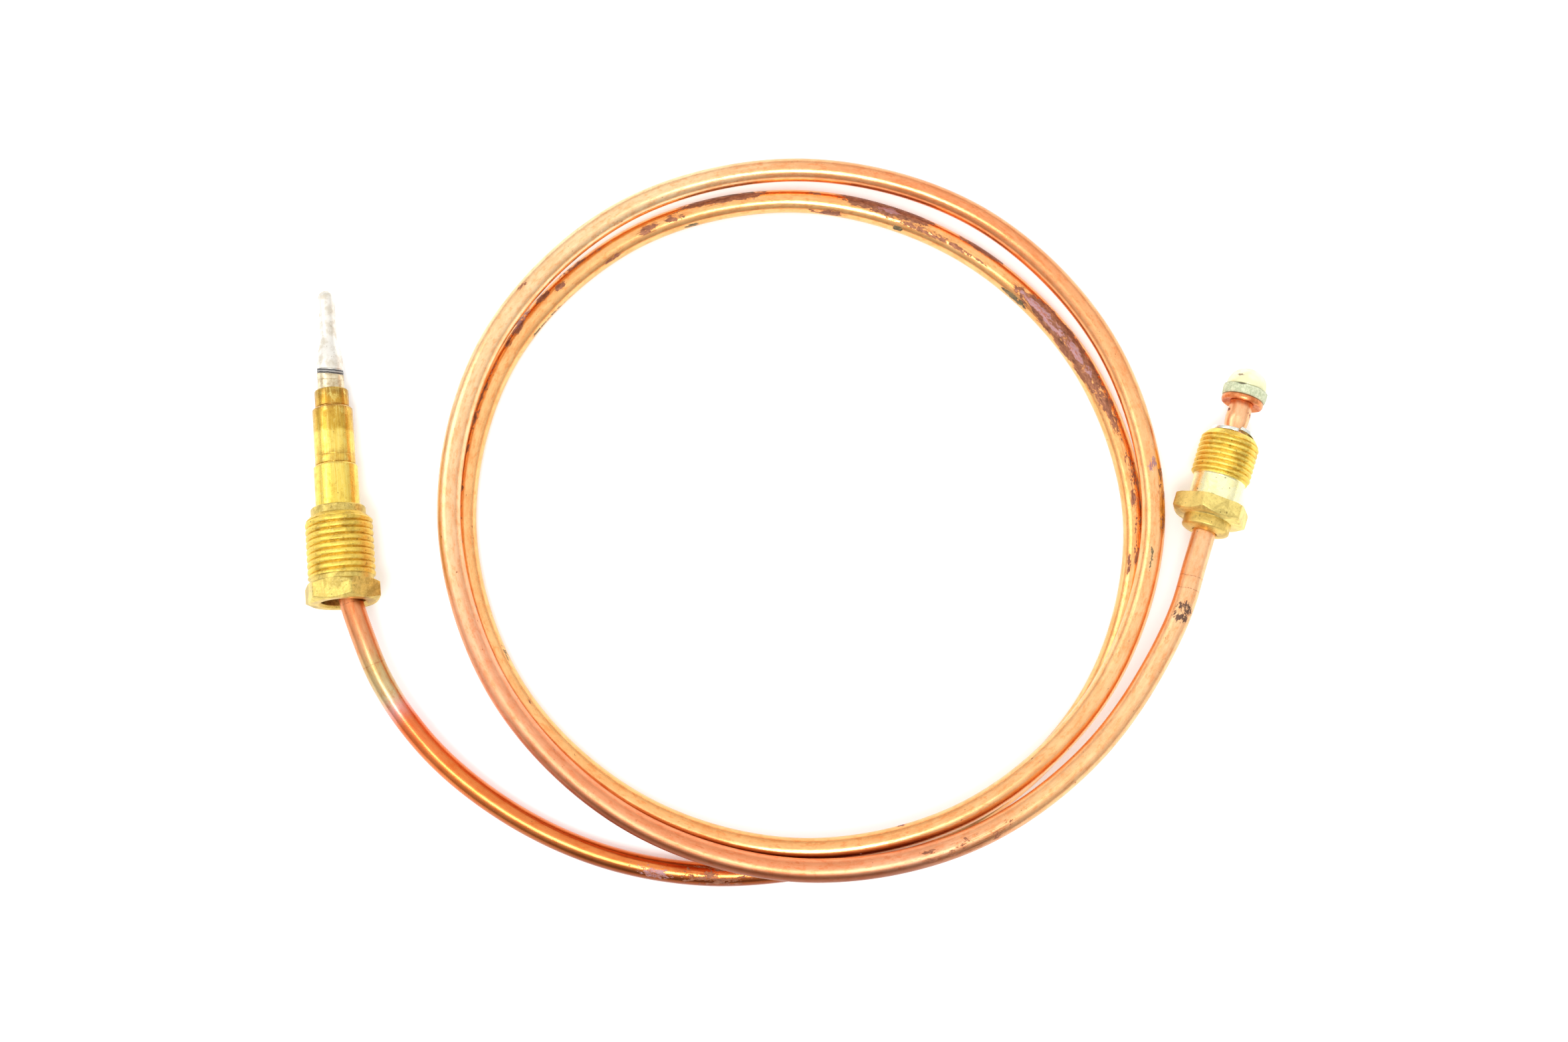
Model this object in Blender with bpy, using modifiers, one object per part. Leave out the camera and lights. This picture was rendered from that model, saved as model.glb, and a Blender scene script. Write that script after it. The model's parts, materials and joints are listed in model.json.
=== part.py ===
"""Gas-burner thermocouple lying coiled on a surface.

A heated probe stands in a stepped brass body with a loose M10x1 nut behind it. A coiled copper
tube carries the signal to an 11/32-32 connector nut, a split spring washer and a contact button.

Driving dimensions are in millimetres and MM turns them into metres. The origin is the middle of
the object's footprint on the surface, +Z is up and +X runs from the probe to the connector.
Turned pieces are drawn along a local Z axis that starts at the rear face of their nut and points
away from the lead, so the probe's local Z runs to its hot tip and the connector's to its button.
"""

import math

import bmesh
import bpy
import numpy as np
from mathutils import Matrix, Vector

MM = 0.001

# Clearances
END_GAP = 0.3  # between end faces that touch on the real object
FIT_GAP = 0.175  # round a piece that is pressed, brazed or crimped in another

# Facets round a turned piece
STEPS = 32
INNER_STEPS = 16

# Placement of the two ends, from the middle of the coil
COIL_CENTRE = (1.74, -0.77)
PROBE_REAR = (-66.65, -12.19, 6.18)
PROBE_LEAN = 5.5  # degrees from +Y towards -X
PROBE_DROP = 6.12  # degrees, so that the thread's front and the hot tip rest on the surface
CONNECTOR_REAR = (59.04, -1.79, 5.86)
CONNECTOR_LEAN = -18.0
CONNECTOR_DROP = 6.2  # a hexagon corner, the thread's front and the insulator rest on the surface

# Lead: copper tube, its insulation and the inner conductor
TUBE_RADIUS = 1.725
TUBE_BORE = 1.2
INSULATION_RADIUS = 1.0
INSULATION_BORE = 0.65
CONDUCTOR_RADIUS = 0.5
ROUTE_POINTS = 78
SHORTEST_STEP = 0.5  # from a piece's end to the route's next point
FLOOR_HEIGHT = TUBE_RADIUS + 0.035
# The coil's turns, about its middle: (degrees, radius, height of the tube's centre)
COIL_ROUTE = [
    (200, 65.6, 4.5),
    (210, 63.8, 3.4),
    (225, 60.1, 2.1),
    (240, 56.5, FLOOR_HEIGHT),
    (255, 53.2, FLOOR_HEIGHT),
    (270, 50.5, FLOOR_HEIGHT),
    (300, 49.8, FLOOR_HEIGHT),
    (330, 49.8, FLOOR_HEIGHT),
    (360, 49.5, FLOOR_HEIGHT),
    (390, 48.4, FLOOR_HEIGHT),
    (420, 48.0, FLOOR_HEIGHT),
    (450, 48.8, FLOOR_HEIGHT),
    (480, 49.9, FLOOR_HEIGHT),
    (510, 50.4, FLOOR_HEIGHT),
    (540, 49.7, FLOOR_HEIGHT),
    (570, 48.7, FLOOR_HEIGHT),
    (600, 47.7, 2.3),
    (630, 47.8, 4.6),
    (660, 48.8, 5.5),
    (690, 50.2, 5.6),
    (720, 51.8, 4.9),
    (750, 52.5, 4.2),
    (780, 53.0, 3.8),
    (810, 53.1, 3.8),
    (840, 53.6, 3.9),
    (870, 53.1, 4.6),
    (900, 51.6, 5.2),
    (930, 50.4, 5.3),
    (960, 50.0, 5.5),
    (990, 50.7, 7.0),
    (1020, 52.5, 7.3),
    (1042, 54.1, 7.3),
    (1058, 55.6, 7.2),
]
# Where the lead follows the two straight axes, as distances along their local Z
PROBE_STRAIGHT = (23.0, 18.6, 14.0, 9.5)
PROBE_MOUTH = (-65.72, -11.61, 5.45)  # the tube leaves the nut beside its axis
PROBE_BEND = (-63.92, -16.89, 5.1)
CONNECTOR_STRAIGHT = (-11.5, -5.0, 2.0, 11.0, 20.9, 24.3)

# Probe, along its local Z
PROBE_LENGTH = 47.9
TIP_RADIUS = 1.19
TIP_BORE = 0.75
NECK_START = 42.2  # the sheath begins to widen here
NECK_END = 37.2
SHEATH_RADIUS = 1.95
SHEATH_BORE = 1.45
SEAM = 34.95
SLEEVE_END = 26.5
BODY_FRONT = 32.3
BODY_RING_RADIUS = 2.5
BODY_MIDDLE_FRONT = 29.5
BODY_MIDDLE_RADIUS = 2.95
BODY_REAR_FRONT = 20.7
BODY_REAR_RADIUS = 3.23
LEAD_SOCKET_DEPTH = 4.3
SPLICE = (20.4, 25.2)
SPLICE_RADIUS = 1.15
CONSTANTAN_RADIUS = 0.45
INSULATOR_RADIUS = 1.2
INSULATOR = (25.6, 37.6)

# Probe nut: M10x1 thread with a plain nose and a 10 mm hexagon
PROBE_NUT_LENGTH = 14.3
NOSE_RADIUS = 4.0
NOSE_MOUTH = (3.4, 0.6)  # radius and depth of the bore's chamfer, outside the body's radius
NOSE_LENGTH = 1.4
M10_RADIUS = 4.93
M10_PITCH = 1.0
M10_RIDGES = 8
M10_START = 4.2  # the first ridge's rear foot
PROBE_HEX = (0.5, 2.7, 3.5)  # rear chamfer ends, hexagon ends, front chamfer ends
PROBE_HEX_TURN = -8.5  # degrees about local Z, from a flat that faces straight up
PROBE_NUT_MOUTH = 3.25  # bore radius at the rear
PROBE_NUT_BORE = 2.5  # bore radius through the nose
PROBE_NUT_TAPER = (9.0, 10.5)
ACROSS_FLATS = 10.0
CORNER_RADIUS = 5.72
THREAD_DEPTH = 0.55  # of the pitch

# Connector nut: 11/32-32 UNEF thread, plain shank, 10 mm hexagon and round collar
UNEF_RADIUS = 4.365
UNEF_PITCH = 25.4 / 32
UNEF_RIDGES = 7
CONNECTOR_NUT_LENGTH = 15.15
CONNECTOR_THREAD_START = 8.4
SHANK_RADIUS = 3.75
CONNECTOR_HEX = (2.0, 4.6)
CONNECTOR_HEX_TURN = 9.0
COLLAR_RADIUS = 3.6
CONNECTOR_BORE = 2.2

# Connector end: split washer, flange, insulating washer and contact button
WASHER_MIDDLE = 15.6
WASHER_RISE = 0.35
WASHER_SECTION = (1.2, 0.5)
WASHER_RADIUS = 2.75
WASHER_OPENING = 10.0  # degrees left open
WASHER_FIRST_END = 105.0  # from local X, so that the opening faces up
FLANGE = (20.1, 21.0)
FLANGE_RADIUS = 3.15
INSULATOR_DISC = (21.3, 22.5)
INSULATOR_DISC_RADIUS = 3.4
BUTTON = (22.8, 26.0)
BUTTON_RADIUS = 3.0


# ---------------------------------------------------------------- scene and materials


def clear_scene():
    for obj in list(bpy.data.objects):
        bpy.data.objects.remove(obj, do_unlink=True)


def new_collection(name):
    collection = bpy.data.collections.new(name)
    bpy.context.scene.collection.children.link(collection)
    return collection


def new_material(name, colour, roughness, metallic):
    material = bpy.data.materials.new(name)
    material.use_nodes = True
    shader = material.node_tree.nodes["Principled BSDF"]
    shader.inputs["Base Color"].default_value = (*colour, 1.0)
    shader.inputs["Roughness"].default_value = roughness
    shader.inputs["Metallic"].default_value = metallic
    return material


def axis_empty(name, rear, lean, drop):
    """An empty at a nut's rear face: local Z runs along the axis, local Y points up."""
    heading = Vector((-math.sin(math.radians(lean)), math.cos(math.radians(lean)), 0.0))
    along = heading * math.cos(math.radians(drop))
    along.z = -math.sin(math.radians(drop))
    side = Vector((0, 0, 1)).cross(along).normalized()
    up = along.cross(side)
    turn = Matrix((side, up, along)).transposed().to_4x4()
    place = Vector((rear[0] + COIL_CENTRE[0], rear[1] + COIL_CENTRE[1], rear[2])) * MM
    empty = bpy.data.objects.new(name, None)
    parts.objects.link(empty)
    empty.matrix_world = Matrix.Translation(place) @ turn
    return empty


def add_object(name, mesh, parent, material):
    obj = bpy.data.objects.new(name, mesh)
    parts.objects.link(obj)
    obj.parent = parent
    if not mesh.materials:
        mesh.materials.append(material)
    return obj


# ---------------------------------------------------------------- turned pieces


def arc(centre, radius, start, end, count):
    """Points (radius, height) on an arc about (radius, height) centre, angles in degrees."""
    angles = [math.radians(start + (end - start) * i / count) for i in range(count + 1)]
    return [(centre[0] + radius * math.cos(a), centre[1] + radius * math.sin(a)) for a in angles]


def ridges(count, pitch, major, depth, lowest):
    """A thread's ridges from the top down, as (radius, height)."""
    points = []
    for i in reversed(range(count)):
        root = lowest + (i + 1) * pitch
        points += [(major - depth, root), (major, root - pitch / 2)]
    return points + [(major - depth, lowest)]


def turned(name, outline, parent, material, steps=STEPS, ring=False):
    """Turns an outline of (radius, height) in millimetres, drawn down its outer side."""
    mesh = bpy.data.meshes.new(name)
    points = [(radius * MM, 0, height * MM) for radius, height in outline]
    edges = [(i, i + 1) for i in range(len(points) - 1)]
    if ring:
        edges.append((len(points) - 1, 0))
    mesh.from_pydata(points, edges, [])
    obj = add_object(name, mesh, parent, material)
    screw = obj.modifiers.new("turn", "SCREW")
    screw.axis = "Z"
    screw.steps = steps
    screw.render_steps = steps
    screw.use_merge_vertices = True
    screw.merge_threshold = 0.000001
    screw.use_smooth_shade = True
    return obj


def cut_hexagon(nut, low, high, turn):
    """Cuts six flats on a nut between two heights, turned about its axis from a flat facing up."""
    mesh = bpy.data.meshes.new(nut.name + "_flats")
    shape = bmesh.new()
    corner = ACROSS_FLATS / math.sqrt(3) * MM
    bmesh.ops.create_cone(
        shape, segments=6, radius1=corner, radius2=corner, depth=(high - low) * MM
    )
    first = max(shape.verts, key=lambda v: v.co.x).co
    to_flat = math.radians(0 if abs(first.y) < 1e-6 else 30)
    bmesh.ops.rotate(shape, verts=shape.verts, matrix=Matrix.Rotation(to_flat, 3, "Z"))
    shape.to_mesh(mesh)
    shape.free()
    cutter = bpy.data.objects.new(mesh.name, mesh)
    cutters.objects.link(cutter)
    cutter.parent = nut.parent
    cutter.location.z = (high + low) / 2 * MM
    cutter.rotation_euler.z = math.radians(turn)
    cutter.hide_render = True
    cutter.display_type = "WIRE"
    wall = cutter.modifiers.new("wall", "SOLIDIFY")
    wall.thickness = 3 * MM
    wall.offset = 1
    wall.use_even_offset = True
    flats = nut.modifiers.new("flats", "BOOLEAN")
    flats.operation = "DIFFERENCE"
    flats.solver = "EXACT"
    flats.object = cutter


# ---------------------------------------------------------------- the lead's route


def along_axis(empty, height):
    return empty.matrix_world @ Vector((0, 0, height * MM))


def from_coil(x, y, z):
    return Vector((x + COIL_CENTRE[0], y + COIL_CENTRE[1], z)) * MM


def route_knots():
    """The points that the lead passes through, from the probe's splice to the button."""
    knots = [along_axis(probe_axis, height) for height in PROBE_STRAIGHT]
    knots += [from_coil(*PROBE_MOUTH), from_coil(*PROBE_BEND)]
    for degrees, radius, height in COIL_ROUTE:
        angle = math.radians(degrees)
        knots.append(from_coil(radius * math.cos(angle), radius * math.sin(angle), height))
    knots += [along_axis(connector_axis, height) for height in CONNECTOR_STRAIGHT]
    return np.array([tuple(knot) for knot in knots])


def smooth_curve(knots, samples=24):
    """A curve through the knots, its slope at each one weighted by the nearer neighbour."""
    ends = np.vstack([2 * knots[0] - knots[1], knots, 2 * knots[-1] - knots[-2]])
    curve = []
    for before, start, end, after in zip(ends, ends[1:], ends[2:], ends[3:]):
        lengths = [np.linalg.norm(b - a) for a, b in ((before, start), (start, end), (end, after))]
        slopes = [(start - before) / lengths[0], (end - start) / lengths[1], (after - end) / lengths[2]]
        leave, arrive = (
            (slopes[i] * lengths[i + 1] + slopes[i + 1] * lengths[i])
            / (lengths[i] + lengths[i + 1])
            * lengths[1]
            for i in (0, 1)
        )
        for t in np.arange(samples) / samples:
            curve.append(
                (2 * t**3 - 3 * t**2 + 1) * start
                + (t**3 - 2 * t**2 + t) * leave
                + (3 * t**2 - 2 * t**3) * end
                + (t**3 - t**2) * arrive
            )
    return np.array(curve + [knots[-1]])


def even_points(curve, count):
    """The same curve as points an equal distance apart."""
    steps = np.linalg.norm(np.diff(curve, axis=0), axis=1)
    distance = np.concatenate([[0], np.cumsum(steps)])
    wanted = np.linspace(0, distance[-1], count)
    return np.stack([np.interp(wanted, distance, curve[:, k]) for k in range(3)], axis=1)


def stretch(start, end):
    """The route from one height on the probe's axis to one on the connector's."""
    points = [Vector(point) for point in route]
    first, last = along_axis(probe_axis, start), along_axis(connector_axis, end)
    to_tip = probe_axis.matrix_world.col[2].xyz
    to_button = connector_axis.matrix_world.col[2].xyz
    while (points[0] - first).dot(to_tip) > -SHORTEST_STEP * MM:
        points.pop(0)
    while (points[-1] - last).dot(to_button) > -SHORTEST_STEP * MM:
        points.pop()
    return [first, *points, last]


def lead_piece(name, points, radius, material, wall=0.0):
    """A tube or wire along the points. A wall makes it hollow."""
    curve = bpy.data.curves.new(name, "CURVE")
    curve.dimensions = "3D"
    curve.twist_mode = "Z_UP"
    curve.bevel_depth = radius * MM
    curve.bevel_resolution = 2
    curve.use_fill_caps = not wall
    spline = curve.splines.new("POLY")
    spline.points.add(len(points) - 1)
    for spot, point in zip(spline.points, points):
        spot.co = (*point, 1)
    spline.use_smooth = True
    obj = add_object(name, curve, None, material)
    if wall:
        shell = obj.modifiers.new("wall", "SOLIDIFY")
        shell.thickness = wall * MM
        shell.offset = -1
    return obj


# ---------------------------------------------------------------- probe


def make_sheath(material):
    """Closed hot tip, widening to the sheath and open at the rear."""
    neck = [
        (
            TIP_RADIUS + (SHEATH_RADIUS - TIP_RADIUS) * (1 - math.cos(math.pi * i / 6)) / 2,
            NECK_START + (NECK_END - NECK_START) * i / 6,
        )
        for i in range(7)
    ]
    outer = arc((0, PROBE_LENGTH - TIP_RADIUS), TIP_RADIUS, 90, 0, 5) + neck
    outer.append((SHEATH_RADIUS, SEAM + END_GAP / 2))
    inner = [
        (SHEATH_BORE, SEAM + END_GAP / 2),
        (SHEATH_BORE, NECK_END + 0.4),
        (TIP_BORE, NECK_START + 0.4),
        (TIP_BORE, PROBE_LENGTH - 1.6),
        (0, PROBE_LENGTH - 1.6),
    ]
    turned("hot_junction_sheath", outer + inner, probe_axis, material, INNER_STEPS)


def make_probe_sleeve(material):
    top, low = SEAM - END_GAP / 2, SLEEVE_END
    outline = [
        (SHEATH_RADIUS, top),
        (SHEATH_RADIUS, low),
        (SHEATH_BORE, low),
        (SHEATH_BORE, top),
    ]
    turned("sheath_sleeve", outline, probe_axis, material, INNER_STEPS, ring=True)


def make_probe_body(material):
    rear = PROBE_NUT_LENGTH + END_GAP
    socket = TUBE_RADIUS + FIT_GAP
    step = rear + LEAD_SOCKET_DEPTH
    front_bore = SHEATH_RADIUS + FIT_GAP
    outline = [
        (BODY_RING_RADIUS - 0.2, BODY_FRONT),
        (BODY_RING_RADIUS, BODY_FRONT - 0.2),
        (BODY_RING_RADIUS, BODY_MIDDLE_FRONT),
        (BODY_MIDDLE_RADIUS - 0.25, BODY_MIDDLE_FRONT),
        (BODY_MIDDLE_RADIUS, BODY_MIDDLE_FRONT - 0.25),
        (BODY_MIDDLE_RADIUS, BODY_REAR_FRONT),
        (BODY_REAR_RADIUS, BODY_REAR_FRONT - 0.3),
        (BODY_REAR_RADIUS, rear),
        (socket, rear),
        (socket, step),
        (SHEATH_BORE, step),
        (SHEATH_BORE, SLEEVE_END - END_GAP),
        (front_bore, SLEEVE_END - END_GAP),
        (front_bore, BODY_FRONT),
    ]
    turned("probe_body", outline, probe_axis, material, ring=True)


def make_probe_inside(constantan, ceramic, tin):
    wire = [
        (0, PROBE_LENGTH - 2.0),
        (CONSTANTAN_RADIUS, PROBE_LENGTH - 2.0),
        (CONSTANTAN_RADIUS, 23.3),
        (0, 23.3),
    ]
    turned("constantan_leg", wire, probe_axis, constantan, INNER_STEPS)
    bore = CONSTANTAN_RADIUS + FIT_GAP
    low, top = INSULATOR
    tube = [(INSULATOR_RADIUS, top), (INSULATOR_RADIUS, low), (bore, low), (bore, top)]
    turned("probe_insulator", tube, probe_axis, ceramic, INNER_STEPS, ring=True)
    low, top = SPLICE
    bore = CONDUCTOR_RADIUS + FIT_GAP
    ferrule = [(SPLICE_RADIUS, top), (SPLICE_RADIUS, low), (bore, low), (bore, top)]
    turned("cold_junction_splice", ferrule, probe_axis, tin, INNER_STEPS, ring=True)


def make_probe_nut(material):
    top = PROBE_NUT_LENGTH
    nose = top - NOSE_LENGTH
    depth = THREAD_DEPTH * M10_PITCH
    rear, flat, front = PROBE_HEX
    outline = [
        (NOSE_RADIUS - 0.15, top),
        (NOSE_RADIUS, top - 0.15),
        (NOSE_RADIUS, nose),
        *ridges(M10_RIDGES, M10_PITCH, M10_RADIUS, depth, M10_START),
        (M10_RADIUS - depth, front),
        (M10_RADIUS, front),
        (CORNER_RADIUS, flat),
        (CORNER_RADIUS, rear),
        (4.85, 0),
        (PROBE_NUT_MOUTH + 0.35, 0),
        (PROBE_NUT_MOUTH, 0.35),
        (PROBE_NUT_MOUTH, PROBE_NUT_TAPER[0]),
        (PROBE_NUT_BORE, PROBE_NUT_TAPER[1]),
        (PROBE_NUT_BORE, top - NOSE_MOUTH[1]),
        (NOSE_MOUTH[0], top),
    ]
    nut = turned("probe_nut", outline, probe_axis, material, ring=True)
    cut_hexagon(nut, -1.0, front + 0.2, PROBE_HEX_TURN)


# ---------------------------------------------------------------- connector


def make_connector_nut(material):
    top = CONNECTOR_NUT_LENGTH
    depth = THREAD_DEPTH * UNEF_PITCH
    root = UNEF_RADIUS - depth
    low, high = CONNECTOR_HEX
    outline = [
        (root - 0.35, top),
        (root, top - 0.45),
        *ridges(UNEF_RIDGES, UNEF_PITCH, UNEF_RADIUS, depth, CONNECTOR_THREAD_START),
        (SHANK_RADIUS, CONNECTOR_THREAD_START - 0.2),
        (SHANK_RADIUS, high),
        (CORNER_RADIUS - 0.4, high),
        (CORNER_RADIUS, high - 0.25),
        (CORNER_RADIUS, low + 0.4),
        (4.7, low),
        (COLLAR_RADIUS, low),
        *arc((COLLAR_RADIUS - 0.7, 0.75), 0.7, 0, -90, 3),
        (CONNECTOR_BORE, 0.05),
        (CONNECTOR_BORE, top),
    ]
    nut = turned("connector_nut", outline, connector_axis, material, ring=True)
    cut_hexagon(nut, low - 0.3, high + 0.3, CONNECTOR_HEX_TURN)


def make_spring_washer(material):
    """A split ring of rectangular section whose ends stand apart, like one turn of a spring."""
    width, height = WASHER_SECTION
    mesh = bpy.data.meshes.new("spring_washer")
    points = [((WASHER_RADIUS + side * width / 2) * MM, 0, WASHER_MIDDLE * MM) for side in (1, -1)]
    mesh.from_pydata(points, [(0, 1)], [])
    washer = add_object("spring_washer", mesh, connector_axis, material)
    washer.rotation_euler.z = math.radians(WASHER_FIRST_END)
    ring = washer.modifiers.new("ring", "SCREW")
    ring.axis = "Z"
    ring.steps = STEPS
    ring.render_steps = STEPS
    ring.angle = math.radians(360 - WASHER_OPENING)
    ring.screw_offset = WASHER_RISE * MM
    thick = washer.modifiers.new("thickness", "SOLIDIFY")
    thick.thickness = height * MM
    thick.offset = 0


def make_end_flange(material):
    """A thick copper collar on the tube's end, dished on the side that the washer bears on."""
    low, top = FLANGE
    bore = TUBE_RADIUS + FIT_GAP
    outline = [
        (FLANGE_RADIUS, top),
        (FLANGE_RADIUS, low + 0.3),
        (FLANGE_RADIUS - 0.15, low + 0.08),
        (FLANGE_RADIUS - 0.4, low),
        (2.3, low + 0.3),
        (bore, low + 0.45),
        (bore, top),
    ]
    turned("end_flange", outline, connector_axis, material, ring=True)


def make_insulating_washer(material):
    """A disc with a spigot that centres it in the tube's end."""
    low, top = INSULATOR_DISC
    bore = CONDUCTOR_RADIUS + FIT_GAP
    outline = [
        (INSULATOR_DISC_RADIUS, top),
        (INSULATOR_DISC_RADIUS, low),
        (INSULATION_RADIUS, low),
        (INSULATION_RADIUS, low - 1.8),
        (bore, low - 1.8),
        (bore, top),
    ]
    turned("insulating_washer", outline, connector_axis, material, ring=True)


def make_button(material):
    """A domed contact, hollow where the conductor's end is soldered in."""
    low, top = BUTTON
    rim = 0.5
    rise = top - low - rim
    curved = (BUTTON_RADIUS**2 + rise**2) / (2 * rise)
    centre = top - curved
    start = math.degrees(math.asin((low + rim - centre) / curved))
    bore = CONDUCTOR_RADIUS + FIT_GAP
    outline = arc((0, centre), curved, 90, start, 8)
    outline += [(BUTTON_RADIUS, low), (bore, low), (bore, top - 1.0), (0, top - 1.0)]
    turned("contact_button", outline, connector_axis, material)


# ---------------------------------------------------------------- build

clear_scene()
parts = new_collection("thermocouple")
cutters = new_collection("cutters")

COPPER = new_material("copper", (0.80, 0.42, 0.27), 0.28, 1.0)
BRASS = new_material("brass", (0.78, 0.57, 0.19), 0.34, 1.0)
STEEL = new_material("sheath_steel", (0.78, 0.76, 0.70), 0.38, 1.0)
SPRING_STEEL = new_material("spring_steel", (0.66, 0.66, 0.66), 0.35, 1.0)
CONSTANTAN = new_material("constantan", (0.62, 0.52, 0.44), 0.4, 1.0)
TIN = new_material("tinned_brass", (0.72, 0.70, 0.66), 0.35, 1.0)
CERAMIC = new_material("ceramic", (0.86, 0.84, 0.78), 0.7, 0.0)
GLASS_FIBRE = new_material("glass_fibre", (0.85, 0.83, 0.76), 0.8, 0.0)
FIBRE = new_material("insulating_fibre", (0.50, 0.56, 0.47), 0.6, 0.0)
SOLDER = new_material("solder", (0.90, 0.87, 0.74), 0.25, 1.0)

probe_axis = axis_empty("probe_axis", PROBE_REAR, PROBE_LEAN, PROBE_DROP)
connector_axis = axis_empty("connector_axis", CONNECTOR_REAR, CONNECTOR_LEAN, CONNECTOR_DROP)
bpy.context.view_layer.update()

make_sheath(STEEL)
make_probe_sleeve(STEEL)
make_probe_body(BRASS)
make_probe_inside(CONSTANTAN, CERAMIC, TIN)
make_probe_nut(BRASS)

route = even_points(smooth_curve(route_knots()), ROUTE_POINTS)
TUBE_START = PROBE_NUT_LENGTH + LEAD_SOCKET_DEPTH
lead_piece(
    "lead_tube", stretch(TUBE_START, FLANGE[1]), TUBE_RADIUS, COPPER, TUBE_RADIUS - TUBE_BORE
)
lead_piece(
    "lead_insulation",
    stretch(SPLICE[0] - 0.3, INSULATOR_DISC[0] - 2.1),
    INSULATION_RADIUS,
    GLASS_FIBRE,
    INSULATION_RADIUS - INSULATION_BORE,
)
lead_piece("lead_conductor", stretch(22.9, BUTTON[1] - 1.4), CONDUCTOR_RADIUS, COPPER)

make_connector_nut(BRASS)
make_spring_washer(SPRING_STEEL)
make_end_flange(COPPER)
make_insulating_washer(FIBRE)
make_button(SOLDER)
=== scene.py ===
import json
import math

import bpy
import numpy as np
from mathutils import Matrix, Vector


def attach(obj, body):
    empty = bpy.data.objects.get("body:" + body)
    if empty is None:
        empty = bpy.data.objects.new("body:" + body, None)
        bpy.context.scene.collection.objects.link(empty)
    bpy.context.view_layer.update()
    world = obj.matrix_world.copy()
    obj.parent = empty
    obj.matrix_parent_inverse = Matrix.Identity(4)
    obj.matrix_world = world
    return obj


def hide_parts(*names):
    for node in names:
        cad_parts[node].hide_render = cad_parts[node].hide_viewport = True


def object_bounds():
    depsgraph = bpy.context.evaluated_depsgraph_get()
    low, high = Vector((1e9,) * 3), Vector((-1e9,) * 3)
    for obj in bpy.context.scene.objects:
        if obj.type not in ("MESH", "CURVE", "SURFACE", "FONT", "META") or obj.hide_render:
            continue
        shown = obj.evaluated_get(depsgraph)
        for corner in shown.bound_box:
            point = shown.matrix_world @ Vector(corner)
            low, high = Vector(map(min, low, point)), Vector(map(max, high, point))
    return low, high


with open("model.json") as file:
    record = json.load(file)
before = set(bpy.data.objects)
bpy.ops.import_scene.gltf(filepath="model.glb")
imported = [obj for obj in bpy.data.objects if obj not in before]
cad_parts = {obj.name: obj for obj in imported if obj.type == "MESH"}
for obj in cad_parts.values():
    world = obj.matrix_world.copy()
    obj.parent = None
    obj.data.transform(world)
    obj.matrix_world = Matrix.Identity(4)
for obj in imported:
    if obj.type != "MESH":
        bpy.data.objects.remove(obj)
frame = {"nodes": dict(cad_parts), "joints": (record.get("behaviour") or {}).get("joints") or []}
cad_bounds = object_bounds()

MM = 0.001

# ---------------------------------------------------------------- the two axes, from the joints


def axis_frame(name):
    """Origin in mm and the rows side, up and along of a turned end's own frame."""
    joint = next(j for j in frame["joints"] if j["name"] == name)
    along = np.array(joint["axis"], float)
    along /= np.linalg.norm(along)
    side = np.cross((0, 0, 1), along)
    side /= np.linalg.norm(side)
    return np.array(joint["pos_m"], float) / MM, np.stack([side, np.cross(along, side), along])


PROBE = axis_frame("probe_nut_spin")
CONNECTOR = axis_frame("connector_nut_spin")

# ---------------------------------------------------------------- lead route, the CAD's own

COIL_CENTRE = (1.74, -0.77)
TUBE_RADIUS = 1.725
FLOOR_HEIGHT = TUBE_RADIUS + 0.035
# Degrees round the coil, distance from its centre and height
COIL_ROUTE = [
    (200, 65.6, 4.5),
    (210, 63.8, 3.4),
    (225, 60.1, 2.1),
    (240, 56.5, FLOOR_HEIGHT),
    (255, 53.2, FLOOR_HEIGHT),
    (270, 50.5, FLOOR_HEIGHT),
    (300, 49.8, FLOOR_HEIGHT),
    (330, 49.8, FLOOR_HEIGHT),
    (360, 49.5, FLOOR_HEIGHT),
    (390, 48.4, FLOOR_HEIGHT),
    (420, 48.0, FLOOR_HEIGHT),
    (450, 48.8, FLOOR_HEIGHT),
    (480, 49.9, FLOOR_HEIGHT),
    (510, 50.4, FLOOR_HEIGHT),
    (540, 49.7, FLOOR_HEIGHT),
    (570, 48.7, FLOOR_HEIGHT),
    (600, 47.7, 2.3),
    (630, 47.8, 4.6),
    (660, 48.8, 5.5),
    (690, 50.2, 5.6),
    (720, 51.8, 4.9),
    (750, 52.5, 4.2),
    (780, 53.0, 3.8),
    (810, 53.1, 3.8),
    (840, 53.6, 3.9),
    (870, 53.1, 4.6),
    (900, 51.6, 5.2),
    (930, 50.4, 5.3),
    (960, 50.0, 5.5),
    (990, 50.7, 7.0),
    (1020, 52.5, 7.3),
    (1042, 54.1, 7.3),
    (1058, 55.6, 7.2),
]
PROBE_STRAIGHT = (23.0, 18.6, 14.0, 9.5)
PROBE_MOUTH = (-65.72, -11.61, 5.45)
PROBE_BEND = (-63.92, -16.89, 5.1)
CONNECTOR_STRAIGHT = (-11.5, -5.0, 2.0, 11.0, 20.9, 24.3)
TUBE_START = 18.6  # on the probe's axis, at the bottom of the body's socket
TUBE_END = 21.0  # on the connector's axis, at the flange's face
END_REACH = 0.3  # how far past an end the curve is dropped
CURVE_STEPS = 24  # between two knots


def place(axis, local):
    """Points given in an end's own frame, in the row frame."""
    origin, rows = axis
    return np.asarray(local, float) @ rows + origin


def on_axis(axis, height):
    return place(axis, (0, 0, height))


def from_coil(x, y, z):
    return np.array((x + COIL_CENTRE[0], y + COIL_CENTRE[1], z))


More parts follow.
